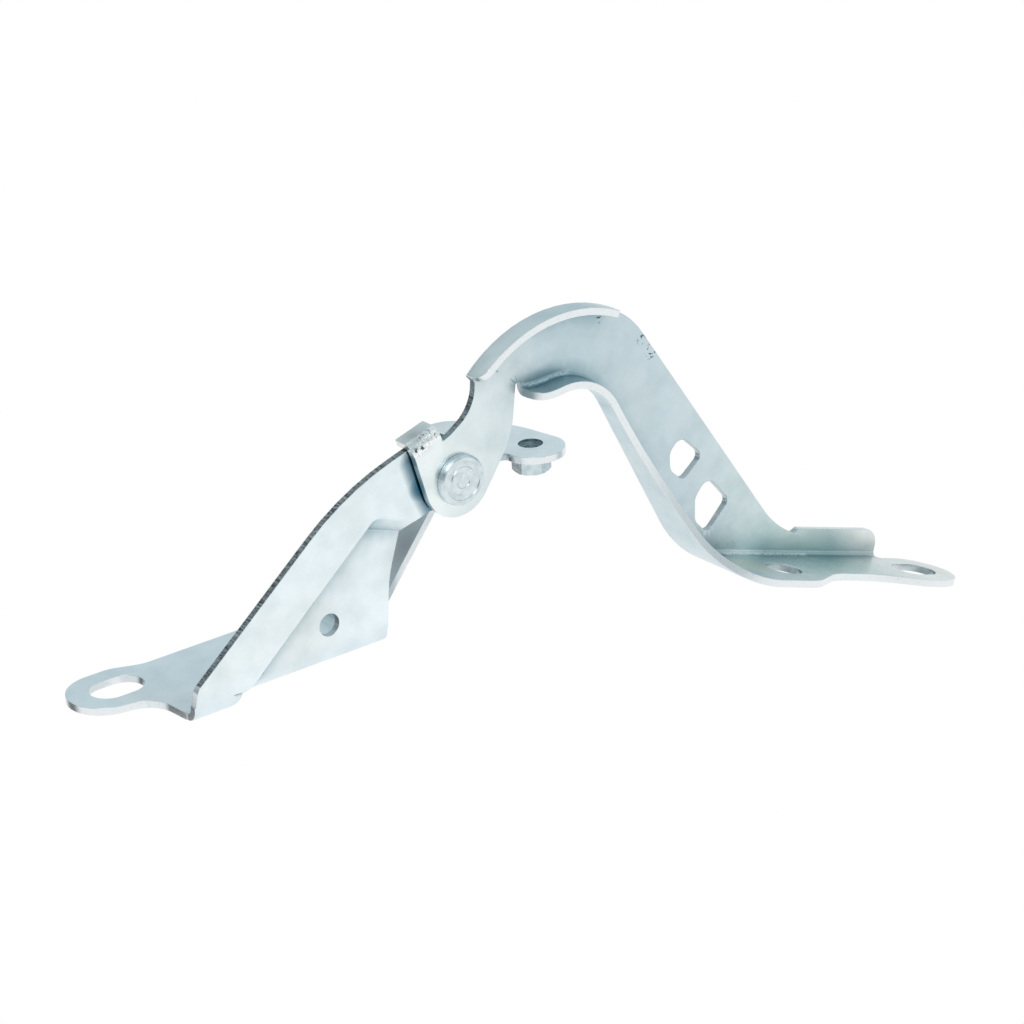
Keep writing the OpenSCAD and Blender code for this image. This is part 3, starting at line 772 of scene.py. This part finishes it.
    def _paint_shade(self, form: Form, tree: BVHTree) -> None:
        """Store how closed-in each vertex is, which the materials paint as shade in bends, hollows
        and undersides.

        Args:
            form: the piece.
            tree: the same piece, for casting rays.
        """
        layer = form.verts.layers.float.new(PAINTED_SHADE_ATTRIBUTE)
        near, far = self.shade_near_mm * MM, self.shade_far_mm * MM
        rays = [
            Vector((math.cos(a) * across, math.sin(a) * across, along))
            for along, across, count in SHADE_RAY_RINGS
            for a in (2 * math.pi * k / count for k in range(count))
        ]
        form.normal_update()
        for vert in form.verts:
            out = self._outward(vert)
            turn = out.to_track_quat("Z", "Y")
            start = vert.co + out * (self.shade_ray_start_mm * MM)
            hits = [tree.ray_cast(start, turn @ ray, far)[3] for ray in rays]
            depths = [depth for depth in hits if depth is not None]
            shut_near = sum(max(0.0, 1.0 - depth / near) for depth in depths) / len(rays)
            shut_far = sum(1.0 - depth / far for depth in depths) / len(rays)
            vert[layer] = min(1.0, self.painted_shade_gain[0] * shut_near + self.painted_shade_gain[1] * shut_far)

    def _outward(self, vert: bmesh.types.BMVert) -> Vector:
        """Find the way out of the sheet at a vertex, from its sheet faces where it has any.

        Args:
            vert: a vertex of the piece.

        Returns:
            A unit vector.
        """
        out = Vector()
        for face in vert.link_faces:
            if face.material_index == Surface.SHEET.value:
                out += face.normal * face.calc_area()
        return out.normalized() if out.length > 0.0 else vert.normal


@dataclass
class Hardware:
    """A small turned, headed or moulded piece, shown as the frame has it."""

    node: str
    finish: PlainMetal | MouldedNylon

    def build(self) -> bpy.types.Object:
        """Dress the frame's node.

        Returns:
            The node's object.
        """
        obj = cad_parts[self.node]
        obj.data.materials.clear()
        obj.data.materials.append(self.finish.build())
        return obj


@dataclass(frozen=True)
class SoftBox:
    """A square studio lamp: where it stands, its side and its power."""

    name: str
    place_m: Point
    side_m: float
    power_w: float


@dataclass
class Studio:
    """White floor, a dim card for the plate to reflect, a pale room, soft boxes and the camera."""

    camera_mm: Point = (-527.8, -911.1, 495.6)
    look: Point = (0.5521, 0.7371, -0.3896)
    up: Point = (0.0640, 0.0, 0.9980)
    focal_mm: float = 132.7
    sensor_mm: float = 36.0
    sight_m: float = 50.0
    floor_mm: float = -420.0
    floor_size_mm: float = 16000.0
    flag_mm: Point = (-640.0, 930.0, -419.0)
    flag_reach_mm: float = 620.0
    flag_shade: str = "2a3033"
    room_shade: tuple[tuple[float, str], ...] = ((-0.3, "98a3a8"), (0.5, "d7e0e3"), (1.0, "f2f6f8"))
    room_slope: Point = (0.6, 0.0, 0.4)
    lamps: tuple[SoftBox, ...] = (
        SoftBox("key_softbox", (-0.9, -1.1, 1.7), 1.3, 9.0),
        SoftBox("top_softbox", (-0.5, 0.6, 2.0), 1.6, 4.0),
    )
    lamp_aim_m: Point = (0.13, -0.02, 0.03)

    def build(self) -> None:
        """Make the floor, the light and the camera."""
        self._paper("floor", self.floor_size_mm, (0.0, 0.0, self.floor_mm))
        self._flag()
        self._world()
        for lamp in self.lamps:
            self._lamp(lamp)
        self._camera()

    def _paper(self, name: str, size_mm: float, place_mm: Point) -> bpy.types.Object:
        """Lay a square of evenly lit white paper.

        Args:
            name: the paper's name.
            size_mm: its side.
            place_mm: its middle.

        Returns:
            The paper.
        """
        sheet = bmesh.new()
        bmesh.ops.create_grid(sheet, x_segments=1, y_segments=1, size=size_mm * MM / 2)
        bmesh.ops.translate(sheet, verts=sheet.verts, vec=Vector(place_mm) * MM)
        mesh = bpy.data.meshes.new(name)
        sheet.to_mesh(mesh)
        sheet.free()
        material, _, shader = start_material(f"{name}_paper", metallic=0.0)
        feed(shader, {"Base Color": linear(BLACK), "Specular IOR Level": 0.0,
                      "Emission Color": linear(WHITE), "Emission Strength": 1.0})
        mesh.materials.append(material)
        paper = bpy.data.objects.new(name, mesh)
        bpy.context.scene.collection.objects.link(paper)
        return paper

    def _flag(self) -> None:
        """Lay a dim card on the floor behind the part, which only the reflections show."""
        card = self._paper("flag", self.flag_reach_mm * 2, self.flag_mm)
        card.visible_camera = False
        tree = card.data.materials[0].node_tree
        at = add(tree, "TexCoord", "Object", {})
        away = add(tree, "VectorMath", "Value", {0: at, 1: Vector(self.flag_mm) * MM},
                   operation="DISTANCE")
        reach = self.flag_reach_mm * MM
        fade = add(tree, "MapRange", "Result",
                   {"Value": away, "From Min": reach / 2, "From Max": reach})
        lit = add(tree, "ValToRGB", "Color", {"Fac": fade})
        set_stops(lit.node, [(0.0, self.flag_shade), (1.0, WHITE)])
        feed(tree.nodes["Principled BSDF"], {"Emission Color": lit})

    def _world(self) -> None:
        """Light the scene from a pale room, dimmer low down and to the left."""
        world = bpy.data.worlds.new("pale_room")
        world.use_nodes = True
        tree = world.node_tree
        way = add(tree, "TexCoord", "Generated", {})
        slope = add(tree, "VectorMath", "Value", {0: way, 1: self.room_slope},
                    operation="DOT_PRODUCT")
        low, high = self.room_shade[0][0], self.room_shade[-1][0]
        fade = add(tree, "MapRange", "Result", {"Value": slope, "From Min": low, "From Max": high})
        shade = add(tree, "ValToRGB", "Color", {"Fac": fade})
        set_stops(shade.node, [((at - low) / (high - low), tint) for at, tint in self.room_shade])
        feed(tree.nodes["Background"], {"Color": shade})
        bpy.context.scene.world = world

    def _lamp(self, box: SoftBox) -> None:
        """Add a soft box that faces the part.

        Args:
            box: the lamp's sizes.
        """
        data = bpy.data.lights.new(box.name, "AREA")
        data.size = box.side_m
        data.energy = box.power_w
        lamp = bpy.data.objects.new(box.name, data)
        lamp.location = box.place_m
        sight = Vector(self.lamp_aim_m) - lamp.location
        lamp.rotation_mode = "QUATERNION"
        lamp.rotation_quaternion = sight.to_track_quat("-Z", "Y")
        bpy.context.scene.collection.objects.link(lamp)

    def _camera(self) -> None:
        """Stand the camera at the photograph's viewing angle."""
        data = bpy.data.cameras.new("camera")
        data.lens = self.focal_mm
        data.sensor_width = self.sensor_mm
        data.clip_end = self.sight_m
        camera = bpy.data.objects.new("camera", data)
        back = -Vector(self.look).normalized()
        right = Vector(self.up).cross(back).normalized()
        over = back.cross(right)
        turn = Matrix((right, over, back)).transposed()
        camera.matrix_world = Matrix.Translation(Vector(self.camera_mm) * MM) @ turn.to_4x4()
        bpy.context.scene.collection.objects.link(camera)
        bpy.context.scene.camera = camera


def main() -> None:
    """Build and dress every piece, then the studio."""
    logging.basicConfig(level=logging.INFO, format="%(name)s: %(message)s")
    pieces = [
        Stamping("body_bracket", "bracket", "bracket_zinc", finishes(BRACKET_ZINC),
                 BRACKET_TORN_MM, kinks_mm=BRACKET_KINKS_MM),
        Stamping("bonnet_arm", "arm", "arm_zinc", finishes(ARM_ZINC), ARM_TORN_MM),
        Hardware("pivot_rivet", RIVET_ZINC),
        Hardware("pivot_bush", BUSH_BRONZE),
        Hardware("thrust_washer", WASHER_NYLON),
        Hardware("weld_nut", NUT_ZINC),
    ]
    for piece in pieces:
        made = piece.build()
        LOG.info("%s: %d faces", made.name, len(made.data.polygons))
    Studio().build()
    bpy.context.scene.view_settings.view_transform = "Standard"


if __name__ == "__main__":
    main()
